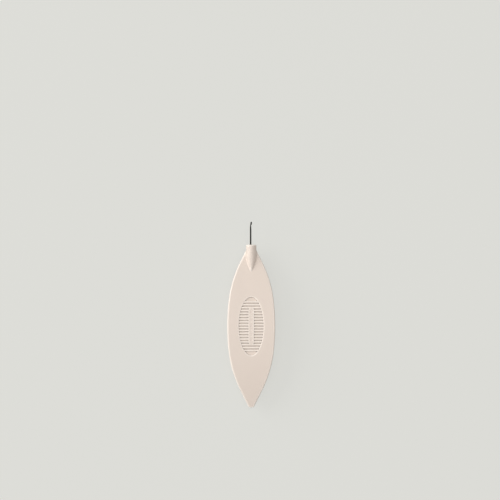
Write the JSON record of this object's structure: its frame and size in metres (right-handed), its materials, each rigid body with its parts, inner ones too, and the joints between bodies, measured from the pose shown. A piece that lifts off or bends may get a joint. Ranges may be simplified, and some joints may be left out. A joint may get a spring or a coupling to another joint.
{
  "type": "tatting shuttle",
  "caption": "Post-type tatting shuttle: bowed pointed-oval blades on a drilled winding post, ribbed oval grips, and a fine steel crochet hook set in a tapered boss at one tip.",
  "frame": {"origin": "centre of the thread hole in the winding post, on the plane where the blades' tips meet", "axes": "+Y along the shuttle towards the hook, +X across it towards the hook's mouth, +Z through its thickness towards the front blade, which carries the hook"},
  "size_m": [0.0192, 0.0742, 0.0094],
  "materials": {
    "blade_plastic": "satin moulded plastic, pale pinkish beige",
    "post_plastic": "satin moulded plastic, pale pinkish beige",
    "hook_steel": "drawn steel wire, dark and lightly polished"
  },
  "bodies": {
    "root": {"front_blade": "blade_plastic", "back_blade": "blade_plastic", "winding_post": "post_plastic", "crochet_hook": "hook_steel"}
  },
  "joints": []
}
